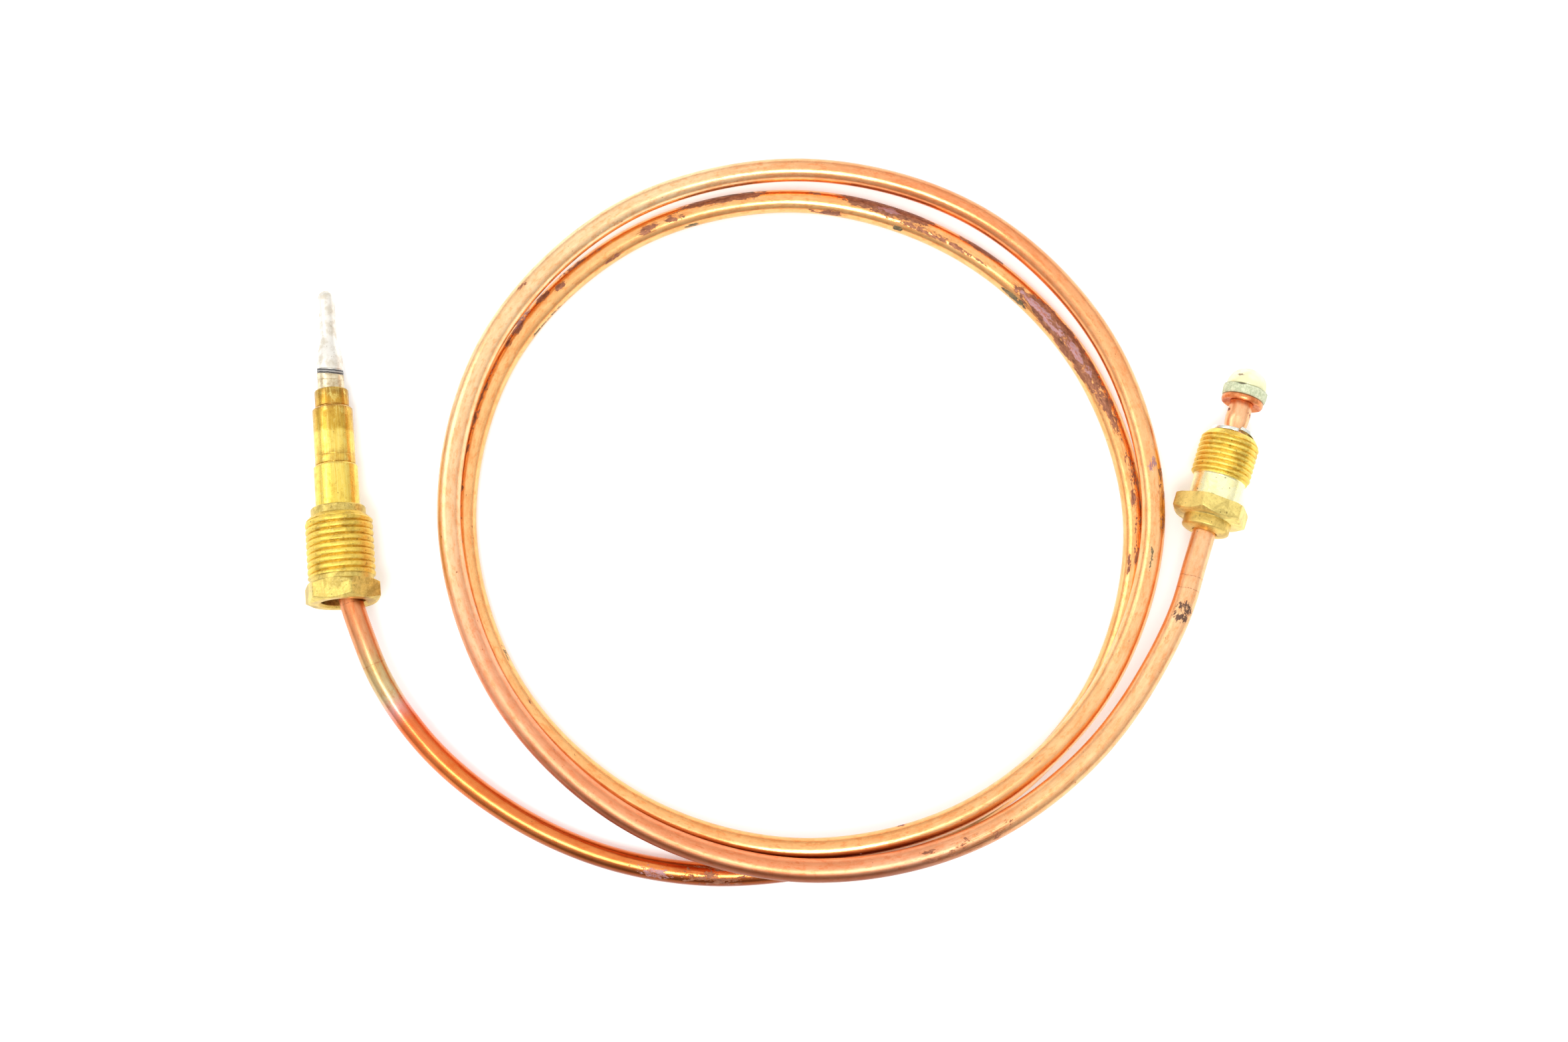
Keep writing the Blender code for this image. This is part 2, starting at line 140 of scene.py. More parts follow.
def route_knots():
    knots = [on_axis(PROBE, height) for height in PROBE_STRAIGHT]
    knots += [from_coil(*PROBE_MOUTH), from_coil(*PROBE_BEND)]
    for degrees, radius, height in COIL_ROUTE:
        angle = math.radians(degrees)
        knots.append(from_coil(radius * math.cos(angle), radius * math.sin(angle), height))
    knots += [on_axis(CONNECTOR, height) for height in CONNECTOR_STRAIGHT]
    return np.array(knots)


def smooth_curve(knots):
    """A curve through the knots, its slope at each one weighted by the nearer neighbour."""
    ends = np.vstack([2 * knots[0] - knots[1], knots, 2 * knots[-1] - knots[-2]])
    curve = []
    for before, start, end, after in zip(ends, ends[1:], ends[2:], ends[3:]):
        lengths = [np.linalg.norm(b - a) for a, b in ((before, start), (start, end), (end, after))]
        slopes = [(start - before) / lengths[0], (end - start) / lengths[1], (after - end) / lengths[2]]
        leave, arrive = (
            (slopes[i] * lengths[i + 1] + slopes[i + 1] * lengths[i])
            / (lengths[i] + lengths[i + 1])
            * lengths[1]
            for i in (0, 1)
        )
        for t in np.arange(CURVE_STEPS) / CURVE_STEPS:
            curve.append(
                (2 * t**3 - 3 * t**2 + 1) * start
                + (t**3 - 2 * t**2 + t) * leave
                + (3 * t**2 - 2 * t**3) * end
                + (t**3 - t**2) * arrive
            )
    return np.array(curve + [knots[-1]])


def run_length(line):
    """The distance along a line at each of its points."""
    return np.concatenate([[0], np.cumsum(np.linalg.norm(np.diff(line, axis=0), axis=1))])


def lead_line(spacing):
    """The tube's centreline between its two ends, as points an equal distance apart."""
    curve = smooth_curve(route_knots())
    first, last = on_axis(PROBE, TUBE_START), on_axis(CONNECTOR, TUBE_END)
    start, end = 0, len(curve)
    while (curve[start] - first) @ PROBE[1][2] > -END_REACH:
        start += 1
    while (curve[end - 1] - last) @ CONNECTOR[1][2] > -END_REACH:
        end -= 1
    curve = np.vstack([first, curve[start:end], last])
    distance = run_length(curve)
    wanted = np.linspace(0, distance[-1], int(distance[-1] / spacing) + 1)
    return np.stack([np.interp(wanted, distance, curve[:, k]) for k in range(3)], axis=1)


# ---------------------------------------------------------------- mesh building


def make_piece(name, points, faces, body, replaced, material, attributes):
    """A smooth-shaded piece in the row frame, from points in mm, riding on a CAD body."""
    mesh = bpy.data.meshes.new(name)
    mesh.from_pydata((np.asarray(points) * MM).tolist(), [], faces)
    mesh.materials.append(material)
    mesh.polygons.foreach_set("use_smooth", np.ones(len(mesh.polygons), bool))
    for key, values in attributes.items():
        values = np.asarray(values, np.float32)
        if values.ndim == 1:
            mesh.attributes.new(key, "FLOAT", "POINT").data.foreach_set("value", values)
        else:
            mesh.attributes.new(key, "FLOAT_VECTOR", "POINT").data.foreach_set("vector", values.ravel())
    piece = bpy.data.objects.new(name, mesh)
    bpy.context.scene.collection.objects.link(piece)
    weighted = piece.modifiers.new("normals", "WEIGHTED_NORMAL")
    weighted.weight = 60
    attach(piece, body)
    if replaced:
        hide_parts(replaced)
    return piece


def ring_faces(rows, columns, closed):
    """Quads between rows of a tube-like grid. Closed joins the last row to the first."""
    faces = []
    for i in range(rows if closed else rows - 1):
        a, b = i * columns, (i + 1) % rows * columns
        for j in range(columns):
            k = (j + 1) % columns
            faces.append((a + j, b + j, b + k, a + k))
    return faces


SHARPEST = math.radians(4)  # a corner that turns less than this is left as it is


def fillet(outline, radius, steps=4, closed=True):
    """Rounds an outline's corners, except the ends of an open one."""
    corners = [np.array(corner, float) for corner in outline]
    count = len(corners)
    points = []
    for i, here in enumerate(corners):
        before = corners[i - 1] - here
        after = corners[(i + 1) % count] - here
        a, b = np.linalg.norm(before), np.linalg.norm(after)
        turn = math.acos(np.clip(-(before @ after) / (a * b), -1, 1))
        at_end = not closed and i in (0, count - 1)
        if at_end or turn < SHARPEST:
            points.append(tuple(here))
            continue
        cut = min(radius * math.tan(turn / 2), 0.45 * a, 0.45 * b)
        start, end = here + before / a * cut, here + after / b * cut
        for t in np.linspace(0, 1, steps + 1):
            points.append(tuple((1 - t) ** 2 * start + 2 * t * (1 - t) * here + t**2 * end))
    return points


def spaced(outline, longest):
    """The same closed outline with its long stretches divided."""
    points = []
    for i, corner in enumerate(outline):
        start, end = np.array(corner), np.array(outline[(i + 1) % len(outline)])
        parts = max(1, int(math.ceil(np.linalg.norm(end - start) / longest)))
        points += [tuple(start + (end - start) * k / parts) for k in range(parts)]
    return points


def lathe(name, outline, axis, body, replaced, material, columns, closed, shape):
    """Turns an outline of (r, z), which runs down its outer side. With closed False it starts and
    ends on the axis. Shape changes the arrays of radius, angle and height, or is None."""
    angles = np.arange(columns) * 2 * math.pi / columns
    on_pole = (not closed and outline[0][0] < 1e-6, not closed and outline[-1][0] < 1e-6)
    rows = outline[1 if on_pole[0] else 0 : -1 if on_pole[1] else len(outline)]
    radius = np.repeat([[r for r, _ in rows]], columns, axis=0).T
    height = np.repeat([[z for _, z in rows]], columns, axis=0).T
    angle = np.repeat([angles], len(rows), axis=0)
    extra = {}
    if shape:
        radius, height, extra = shape(radius, angle, height)
    local = np.stack([radius * np.cos(angle), radius * np.sin(angle), height], axis=-1).reshape(-1, 3)
    faces = ring_faces(len(rows), columns, closed)
    extra = {key: value.ravel() for key, value in extra.items()}
    for end, first in ((0, 0), (-1, (len(rows) - 1) * columns)):
        if not on_pole[end]:
            continue
        tip = len(local)
        local = np.vstack([local, (0, 0, outline[end][1])])
        for j in range(columns):
            pair = (first + j, first + (j + 1) % columns)
            faces.append((tip, *pair) if end == 0 else (tip, *pair[::-1]))
    attributes = {"local_mm": local, **extra}
    make_piece(name, place(axis, local), faces, body, replaced, material, attributes)


# ---------------------------------------------------------------- materials


class Look:
    """A material under construction: each method adds a node and returns its output."""

    def __init__(self, name, metallic=1.0):
        self.material = bpy.data.materials.new(name)
        self.material.use_nodes = True
        self.tree = self.material.node_tree
        self.shader = self.tree.nodes["Principled BSDF"]
        self.set("Metallic", metallic)

    def put(self, socket, value):
        if isinstance(value, bpy.types.NodeSocket):
            self.tree.links.new(value, socket)
        elif isinstance(value, tuple) and len(value) == 3 and socket.type == "RGBA":
            socket.default_value = (*value, 1.0)
        else:
            socket.default_value = value

    def set(self, name, value):
        self.put(self.shader.inputs[name], value)

    def attribute(self, name, output):
        node = self.tree.nodes.new("ShaderNodeAttribute")
        node.attribute_name = name
        return node.outputs[output]

    def local(self, name="local_mm"):
        return self.attribute(name, "Vector")

    def number(self, name):
        return self.attribute(name, "Fac")

    def object_mm(self):
        node = self.tree.nodes.new("ShaderNodeTexCoord")
        return self.stretched(node.outputs["Object"], (1 / MM, 1 / MM, 1 / MM))

    def stretched(self, vector, scale):
        node = self.tree.nodes.new("ShaderNodeMapping")
        self.put(node.inputs["Vector"], vector)
        node.inputs["Scale"].default_value = scale
        return node.outputs["Vector"]

    def part(self, vector, axis):
        node = self.tree.nodes.new("ShaderNodeSeparateXYZ")
        self.put(node.inputs[0], vector)
        return node.outputs[axis]

    def distance(self, vector, point):
        node = self.tree.nodes.new("ShaderNodeVectorMath")
        node.operation = "DISTANCE"
        self.put(node.inputs[0], vector)
        node.inputs[1].default_value = point
        return node.outputs["Value"]

    def noise(self, vector, scale, detail, roughness, distortion=0.0, stretch=None):
        node = self.tree.nodes.new("ShaderNodeTexNoise")
        self.put(node.inputs["Vector"], self.stretched(vector, stretch) if stretch else vector)
        node.inputs["Scale"].default_value = scale
        node.inputs["Detail"].default_value = detail
        node.inputs["Roughness"].default_value = roughness
        node.inputs["Distortion"].default_value = distortion
        return node.outputs["Fac"]

    def math(self, operation, a, b=0.0, c=0.0):
        node = self.tree.nodes.new("ShaderNodeMath")
        node.operation = operation
        for socket, value in zip(node.inputs, (a, b, c)):
            self.put(socket, value)
        return node.outputs[0]

    def plus(self, a, b):
        return self.math("ADD", a, b)

    def times(self, a, b):
        return self.math("MULTIPLY", a, b)

    def scaled(self, value, scale, offset):
        return self.math("MULTIPLY_ADD", value, scale, offset)

    def centred(self, noise):
        return self.math("SUBTRACT", noise, 0.5)

    def band(self, value, low, high, start=0.0, end=1.0):
        """Value taken from low..high to start..end with soft ends."""
        node = self.tree.nodes.new("ShaderNodeMapRange")
        node.interpolation_type = "SMOOTHSTEP"
        for socket, v in zip(node.inputs, (value, low, high, start, end)):
            self.put(socket, v)
        return node.outputs[0]

    def ramp(self, value, stops):
        node = self.tree.nodes.new("ShaderNodeValToRGB")
        self.put(node.inputs[0], value)
        elements = node.color_ramp.elements
        while len(elements) < len(stops):
            elements.new(0.5)
        for element, (position, colour) in zip(elements, stops):
            element.position = position
            element.color = (*colour, 1.0)
        return node.outputs["Color"]

    def mix(self, amount, a, b, blend="MIX"):
        node = self.tree.nodes.new("ShaderNodeMix")
        node.data_type = "RGBA"
        node.blend_type = blend
        self.put(node.inputs["Factor"], amount)
        self.put(node.inputs[6], a)
        self.put(node.inputs[7], b)
        return node.outputs[2]

    def dyed(self, colour, tint):
        return self.mix(1.0, colour, tint, "MULTIPLY")

    def colour(self, value):
        self.set("Base Color", value)

    def relief(self, height, distance, strength=0.5):
        """Bumps the surface; distance is in metres."""
        node = self.tree.nodes.new("ShaderNodeBump")
        node.inputs["Strength"].default_value = strength
        node.inputs["Distance"].default_value = distance
        self.put(node.inputs["Height"], height)
        self.set("Normal", node.outputs[0])


def srgb(r, g, b):
    """Linear colour of an 8-bit sRGB one."""
    return tuple(((v / 255 + 0.055) / 1.055) ** 2.4 if v > 10 else v / 255 / 12.92 for v in (r, g, b))


BROWN, PURPLE, GREEN, INK = 0, 1, 2, 3
# Each stain's colours from its dark to its light spots
STAIN_COLOURS = {
    BROWN: [
        (0.34, srgb(104, 60, 42)),
        (0.46, srgb(142, 88, 62)),
        (0.56, srgb(164, 106, 76)),
        (0.70, srgb(204, 142, 102)),
    ],
    PURPLE: [
        (0.36, srgb(130, 78, 62)),
        (0.45, srgb(178, 110, 88)),
        (0.53, srgb(170, 132, 138)),
        (0.62, srgb(190, 140, 130)),
        (0.72, srgb(212, 158, 134)),
    ],
    GREEN: [(0.38, srgb(70, 64, 46)), (0.52, srgb(126, 108, 76)), (0.68, srgb(176, 146, 100))],
    INK: [(0.35, srgb(52, 44, 42)), (0.65, srgb(128, 92, 72))],
}


def copper_look(rings_at):
    """Drawn tube: tone along its length, fine marks both ways, ragged oxide patches, streaks of
    tarnish beside them, and scored rings at the given distances from the tube's start."""
    look = Look("copper_tube")
    local = look.local()
    tone, stains = look.local("tone"), look.local("stains")
    along = look.noise(local, 2.2, 4, 0.65, stretch=(0.05, 2.2, 2.2))
    fine = look.noise(local, 1.5, 5, 0.7, stretch=(0.16, 4.2, 4.2))
    rings = look.noise(local, 2.0, 3, 0.6, stretch=(5.0, 0.10, 0.10))
    cloud = look.noise(local, 1.0, 3, 0.5, stretch=(0.22, 0.5, 0.5))
    mottle = look.noise(local, 1.3, 7, 0.78, stretch=(0.55, 1.2, 1.2))
    ragged = look.noise(local, 1.0, 8, 0.66, 0.5, stretch=(0.42, 1.0, 1.0))
    grain = look.noise(local, 1.0, 4, 0.7, stretch=(2.0, 3.4, 3.4))
    shade = look.noise(local, 1.0, 7, 0.8, stretch=(0.8, 1.8, 1.8))
    specks = look.noise(local, 1.0, 2, 0.5, stretch=(1.3, 2.2, 2.2))

    edge = look.scaled(look.centred(grain), 0.8, look.times(look.centred(ragged), 2.2))
    covers = [look.plus(edge, look.part(stains, kind)) for kind in (BROWN, PURPLE, GREEN)]
    covers[PURPLE] = look.scaled(look.centred(shade), 1.4, covers[PURPLE])
    covers.append(look.plus(edge, look.number("ink")))

    near_oxide = look.band(look.part(stains, BROWN), 0.12, 0.42, 0.0, 0.75)
    ringed = look.times(look.band(rings, 0.56, 0.70), look.band(cloud, 0.50, 0.60, 0.05, 0.42))
    layers = [
        (look.band(cloud, 0.36, 0.64), (0.93, 0.86, 0.80)),
        (look.times(look.band(along, 0.52, 0.66), 0.5), (0.86, 0.74, 0.62)),
        (ringed, (0.78, 0.55, 0.42)),
        (look.band(mottle, 0.50, 0.62, 0.0, 0.8), (0.92, 0.66, 0.50)),
        (look.band(mottle, 0.48, 0.38, 0.0, 0.4), (1.04, 1.14, 1.2)),
        (look.band(covers[BROWN], 0.30, 0.52, 0.0, 0.5), (0.76, 0.52, 0.36)),
        (look.times(look.band(fine, 0.50, 0.62), near_oxide), (0.56, 0.36, 0.25)),
    ]
    shown = tone
    for amount, tint in layers:
        shown = look.mix(amount, shown, look.dyed(tone, tint))
    shown = look.mix(look.times(look.band(specks, 0.735, 0.765), 0.75), shown, srgb(140, 74, 46))

    patch = 0.0
    for kind, cover in enumerate(covers):
        here = look.band(cover, 0.50, 0.57)
        spots = look.ramp(grain if kind == INK else shade, STAIN_COLOURS[kind])
        shown = look.mix(here, shown, spots)
        patch = look.math("MAXIMUM", here, patch)

    travelled = look.plus(look.part(local, 0), look.times(look.centred(cloud), 0.5))
    broken = look.band(grain, 0.42, 0.58, 0.15, 0.7)
    for at in rings_at:
        near = look.math("ABSOLUTE", look.math("SUBTRACT", travelled, at))
        line = look.times(look.band(near, 0.02, 0.11, 1.0, 0.0), broken)
        shown = look.mix(line, shown, srgb(170, 92, 66))

    look.colour(shown)
    look.set("Metallic", look.band(patch, 0.0, 1.0, 1.0, 0.5))
    rough = look.plus(look.band(along, 0.3, 0.7, 0.17, 0.25), look.times(patch, 0.26))
    look.set("Roughness", look.scaled(look.number("matte"), 0.22, rough))
    rise = look.times(grain, look.plus(patch, 0.12))
    look.relief(look.plus(look.times(along, 0.6), rise), 0.00003)
    return look.material


def nut_brass_look(name, dull, thread, polished_sheen=None):
    """Brass in up to three finishes, each a pair of tones: a dull hexagon, a satin thread and
    polished plain turns, whose paler tones are a painted sheen. All have mottled tarnish, small dark
    spots and painted shade in the roots, the bore and the connector's collar."""
    look = Look(name)
    local = look.local()
    root, finish = look.number("root"), look.number("finish")
    cloud = look.noise(local, 0.62, 6, 0.68, 0.5)
    stains = look.noise(local, 0.34, 4, 0.6, 0.8)
    fine = look.noise(local, 3.4, 5, 0.75)
    spots = look.noise(local, 2.1, 2, 0.4)
    on_thread, on_polish = look.band(finish, 0.2, 0.8), look.band(finish, 1.2, 1.8)
    # Polished turns take the near-white tones, a painted sheen
    light, dark = (
        look.mix(on_polish, look.mix(on_thread, a, b), c) for a, b, c in zip(dull, thread, polished_sheen or thread)
    )
    wear = look.scaled(on_polish, -0.7, 1.0)
    stained = look.times(look.band(stains, 0.52, 0.64, 0.0, 0.75), wear)
    bright = look.times(look.band(fine, 0.50, 0.66, 0.0, 0.4), wear)
    pitted = look.times(look.band(fine, 0.46, 0.34, 0.0, 0.6), wear)
    base = look.mix(look.band(cloud, 0.38, 0.62), light, dark)
    base = look.mix(stained, base, look.dyed(dark, (0.72, 0.70, 0.66)))
    base = look.mix(bright, base, srgb(248, 230, 152))
    base = look.mix(pitted, base, look.dyed(dark, (0.66, 0.62, 0.55)))
    base = look.mix(look.times(look.band(spots, 0.68, 0.75), 0.6), base, srgb(96, 80, 44))
    # Painted shade: a darker, browner tint in the thread roots, the bore and the connector's collar
    base = look.mix(look.times(root, 0.45), base, look.dyed(base, (0.80, 0.60, 0.36)))
    look.colour(base)
    look.set("Roughness", look.scaled(on_polish, -0.17, look.band(fine, 0.3, 0.75, 0.36, 0.52)))
    height = look.plus(look.times(fine, 0.6), look.times(cloud, 0.5))
    look.relief(look.times(height, wear), 0.00005, 0.6)
    return look.material


BODY_SPAN = (14.0, 19.0)  # where the tints start on the axis, and their whole length
# Tints along the body, as shares of its length
BODY_TINTS = [
    (0.00, srgb(240, 208, 92)),
    (0.33, srgb(244, 214, 102)),
    (0.36, srgb(204, 166, 78)),
    (0.40, srgb(232, 194, 88)),
    (0.43, srgb(210, 172, 80)),
    (0.46, srgb(242, 210, 102)),
    (0.60, srgb(240, 208, 100)),
    (0.63, srgb(208, 168, 66)),
    (0.78, srgb(208, 166, 70)),
    (0.81, srgb(186, 142, 70)),
    (0.85, srgb(204, 155, 58)),
    (0.89, srgb(190, 144, 56)),
    (0.93, srgb(172, 132, 60)),
    (1.00, srgb(196, 164, 78)),
]


def body_brass_look():
    """Polished brass that the flame has tinted: gold at the rear, brown towards the tip."""
    look = Look("stepped_body_brass")
    local = look.local()
    wobble = look.noise(local, 1.1, 4, 0.6)
    cloud = look.noise(local, 0.9, 6, 0.7, 0.5)
    grain = look.noise(local, 4.2, 4, 0.7)
    lines = look.noise(local, 1.0, 3, 0.6, 0.3, stretch=(5.0, 5.0, 0.22))
    specks = look.noise(local, 3.0, 2, 0.5)
    start, length = BODY_SPAN
    height = look.scaled(look.centred(wobble), 1.1, look.part(local, 2))
    tint = look.ramp(look.math("DIVIDE", look.math("SUBTRACT", height, start), length), BODY_TINTS)
    tint = look.mix(look.band(cloud, 0.5, 0.66, 0.0, 0.55), tint, look.dyed(tint, (0.66, 0.56, 0.44)))
    tint = look.mix(look.band(cloud, 0.46, 0.34, 0.0, 0.5), tint, srgb(246, 226, 132))
    tint = look.mix(look.band(lines, 0.54, 0.68, 0.0, 0.5), tint, look.dyed(tint, (0.78, 0.60, 0.40)))
    tint = look.mix(look.band(lines, 0.46, 0.36, 0.0, 0.35), tint, srgb(250, 232, 140))
    tint = look.mix(look.band(specks, 0.68, 0.75, 0.0, 0.6), tint, srgb(116, 86, 44))
    look.colour(tint)
    look.set("Roughness", look.band(cloud, 0.35, 0.7, 0.22, 0.38))
    look.relief(look.scaled(grain, 0.4, lines), 0.00004, 0.45)
    return look.material


def sheath_look():
    """Matte stainless steel, warm white, with small brown specks."""
    look = Look("sheath_steel")
    local = look.local()
    cloud = look.noise(local, 0.7, 4, 0.6)
    specks = look.noise(local, 3.6, 2, 0.5)
    base = look.mix(look.band(cloud, 0.4, 0.65), srgb(238, 234, 225), srgb(216, 208, 192))
    base = look.mix(look.times(look.band(specks, 0.66, 0.76), 0.55), base, srgb(140, 112, 82))
    look.colour(base)
    look.set("Roughness", look.band(cloud, 0.35, 0.7, 0.42, 0.56))
    look.relief(look.noise(local, 9.0, 3, 0.6), 0.00002)
    return look.material


SHEATH_RADIUS = 1.95
SEAM_BAND = (34.87, 35.57)  # along the probe's axis, in mm
SEAM_TILT = (0.33, -0.35)  # how far it rises on the side and on top, in mm
SEAM_TINTS = [
    (0.00, srgb(190, 182, 166)),
    (0.08, srgb(120, 114, 108)),
    (0.17, srgb(48, 46, 48)),
    (0.28, srgb(70, 68, 68)),
    (0.40, srgb(168, 164, 158)),
    (0.60, srgb(158, 156, 152)),
    (0.74, srgb(60, 58, 62)),
    (0.84, srgb(52, 50, 54)),
    (0.94, srgb(150, 146, 140)),
    (1.00, srgb(206, 202, 194)),
]


def seam_look():
    """The dark joint: two nearly black lines with grey between them."""
    look = Look("braze_seam", 0.7)
    local = look.local()
    low, high = SEAM_BAND
    level = look.scaled(look.centred(look.noise(local, 1.4, 3, 0.6)), 0.22, look.part(local, 2))
    for side in (0, 1):
        level = look.scaled(look.part(local, side), -SEAM_TILT[side] / SHEATH_RADIUS, level)
    share = look.math("DIVIDE", look.math("SUBTRACT", level, low), high - low)
    look.colour(look.ramp(share, SEAM_TINTS))
    look.set("Roughness", 0.45)
    return look.material


def plain_look(name, light, dark, scale, roughness, metallic=1.0, depth=0.00002, attribute=True):
    """A mottled finish between two colours with a fine relief. With attribute False it is laid out
    by the object's own coordinates, taken to mm."""
    look = Look(name, metallic)
    local = look.local() if attribute else look.object_mm()
    cloud = look.noise(local, scale, 5, 0.62)
    look.colour(look.mix(look.band(cloud, 0.38, 0.64), light, dark))
    look.set("Roughness", look.band(cloud, 0.3, 0.7, roughness - 0.08, roughness + 0.08))
    look.relief(look.noise(local, scale * 5, 3, 0.6), depth)
    return look.material


MARK_STRETCH, MARK_PLACE = 2.2, (1.55, 2.15, 24.15)  # on the button, its height stretched


def raised(point, stretch):
    return (point[0], point[1], point[2] * stretch)


def button_look():
    """Smooth cream-coloured solder with a small brown mark."""
    look = Look("button_solder", 0.3)
    local = look.local()
    cloud = look.noise(local, 0.6, 3, 0.5)
    base = look.mix(look.band(cloud, 0.4, 0.66), srgb(250, 246, 212), srgb(238, 232, 188))
    low = look.band(look.part(local, 2), 22.9, 24.2, 0.55, 0.0)
    base = look.mix(low, base, srgb(226, 226, 168))
    squashed = look.stretched(local, (1.0, 1.0, MARK_STRETCH))
    away = look.distance(squashed, raised(MARK_PLACE, MARK_STRETCH))
    near = look.scaled(look.noise(local, 2.6, 4, 0.7), 0.9, away)
    base = look.mix(look.band(near, 0.70, 1.05, 0.85, 0.0), base, srgb(132, 96, 66))
    look.colour(base)
    look.set("Roughness", look.band(cloud, 0.3, 0.7, 0.28, 0.40))
    look.relief(look.noise(local, 1.6, 3, 0.5), 0.00004)
    return look.material


SLIT_STRETCH, SLIT_PLACE = 3.4, (1.2, 3.05, 22.7)  # in the washer's rim, its height stretched


def fibre_look():
    """Pressed grey-green fibre, darker along its upper edge, with a dark slit."""
    look = Look("pressed_fibre", 0.0)
    local = look.local()
    cloud = look.noise(local, 1.7, 6, 0.7, 0.4)
    fine = look.noise(local, 6.0, 3, 0.7)
    base = look.mix(look.band(cloud, 0.38, 0.62), srgb(220, 224, 188), srgb(182, 190, 152))
    base = look.mix(look.band(fine, 0.54, 0.68, 0.0, 0.5), base, srgb(232, 234, 208))
    level = look.scaled(look.centred(cloud), 0.5, look.part(local, 2))
    base = look.mix(look.band(level, 22.62, 22.86, 0.0, 0.6), base, srgb(112, 116, 78))
    squashed = look.stretched(local, (1.0, 1.0, SLIT_STRETCH))
    away = look.distance(squashed, raised(SLIT_PLACE, SLIT_STRETCH))
    base = look.mix(look.band(away, 0.45, 0.85, 0.9, 0.0), base, srgb(84, 76, 50))
    look.colour(base)
    look.set("Roughness", look.band(cloud, 0.3, 0.7, 0.5, 0.7))
    look.relief(look.scaled(fine, 0.5, cloud), 0.00010, 0.6)
    return look.material


# ---------------------------------------------------------------- copper tube

GOLD = srgb(250, 190, 126)
PEACH = srgb(252, 196, 140)
PINK = srgb(242, 178, 140)
LEAD = srgb(226, 136, 76)
# Colour of the clean copper by unwrapped coil degrees, from the probe nut
TONES = [
    (186, srgb(236, 158, 110)),
    (191, srgb(226, 146, 98)),
    (196, srgb(220, 156, 110)),
    (199, srgb(206, 176, 122)),
    (203, srgb(206, 182, 138)),
    (205, srgb(232, 158, 146)),
    (207, srgb(230, 122, 72)),
    (216, srgb(228, 130, 68)),
    (228, LEAD),
    (254, LEAD),
    (270, srgb(230, 142, 82)),
    (300, GOLD),
    (590, GOLD),
    (640, srgb(248, 188, 128)),
    (700, PEACH),
    (735, srgb(252, 190, 132)),
    (765, srgb(244, 166, 112)),
    (790, srgb(242, 158, 106)),
    (812, srgb(252, 188, 134)),
    (832, srgb(255, 214, 164)),
    (880, srgb(255, 210, 160)),
    (902, srgb(250, 198, 150)),
    (920, srgb(242, 176, 136)),
    (945, srgb(238, 164, 122)),
    (990, srgb(236, 160, 116)),
    (1010, PINK),
    (1030, PEACH),
    (1100, srgb(250, 196, 150)),
]
# How matte the surface is, by the same degrees
MATTE = [
    (186, 0.5),
    (205, 0.3),
    (240, 0.1),
    (560, 0.1),
    (880, 0.15),
    (915, 0.8),
    (1005, 0.9),
    (1030, 0.4),
    (1100, 0.5),
]
# Oxide patches: coil degrees, half length in degrees, side (0 faces out, 90 up), half width, cover, kind
PATCHES = [
    (503.5, 3.6, 38, 30, 0.50, PURPLE),
    (506.5, 3.5, 62, 26, 0.54, BROWN),
    (491.5, 4.0, 38, 26, 0.60, BROWN),
    (498.5, 1.9, 52, 28, 0.80, BROWN),
    (495.3, 1.4, 85, 20, 0.72, BROWN),
    (486.7, 1.6, 50, 20, 0.66, BROWN),
    (447.7, 1.6, 52, 16, 0.66, BROWN),
    (445.0, 4.0, 150, 24, 0.66, BROWN),
    (469.0, 2.4, 163, 18, 0.68, GREEN),
    (477.3, 2.3, 96, 22, 0.78, BROWN),
    (472.0, 2.0, 88, 32, 0.66, BROWN),
    (463.6, 8.2, 46, 38, 0.85, BROWN),
    (461.0, 6.5, 20, 18, 0.72, GREEN),
    (435.0, 9.6, 44, 56, 0.98, BROWN),
    (434.6, 2.4, 70, 20, 0.70, PURPLE),
    (425.0, 12.0, 104, 18, 0.60, BROWN),
    (431.8, 1.2, 150, 18, 0.70, GREEN),
    (500.0, 7.0, 166, 12, 0.60, GREEN),
    (485.0, 2.4, 138, 16, 0.72, BROWN),
    (859.4, 1.8, 60, 22, 0.50, BROWN),
    (416.3, 5.0, 32, 34, 0.78, BROWN),
    (395.0, 14.0, 98, 62, 0.90, BROWN),
    (396.6, 12.0, 98, 26, 0.62, PURPLE),
    (406.8, 3.4, 150, 22, 0.85, GREEN),
    (380.0, 9.0, 80, 34, 0.66, BROWN),
    (364.0, 17.0, 76, 32, 0.50, BROWN),
    (352.8, 2.5, 120, 14, 0.62, BROWN),
    (344.0, 1.0, 60, 16, 0.60, BROWN),
    (723.5, 7.0, 40, 40, 0.42, BROWN),
    (729.5, 2.2, 80, 30, 0.50, PURPLE),
    (714.8, 4.5, 90, 12, 0.62, GREEN),
    (1035.0, 1.2, 60, 20, 0.50, BROWN),
    (1019.0, 8.0, 70, 50, 0.38, BROWN),
    (1011.0, 2.0, 80, 44, 0.42, BROWN),
    (973.0, 1.0, 110, 14, 0.60, BROWN),
    (648.0, 1.0, 160, 16, 0.70, BROWN),
    (256.0, 7.5, 90, 80, 0.50, BROWN),
    (247.5, 4.0, 75, 46, 0.50, PURPLE),
    (577.0, 6.0, 30, 12, 0.58, BROWN),
    (590.0, 4.0, 40, 10, 0.55, BROWN),
    (573.6, 0.8, 125, 14, 0.55, BROWN),
    (554.8, 1.9, 60, 30, 0.64, PURPLE),
    (562.0, 14.0, 72, 14, 0.50, BROWN),
    (563.7, 3.0, 150, 12, 0.62, GREEN),
    (530.0, 24.0, 66, 20, 0.46, BROWN),
    (1066.2, 2.0, 88, 58, 0.57, INK),
]
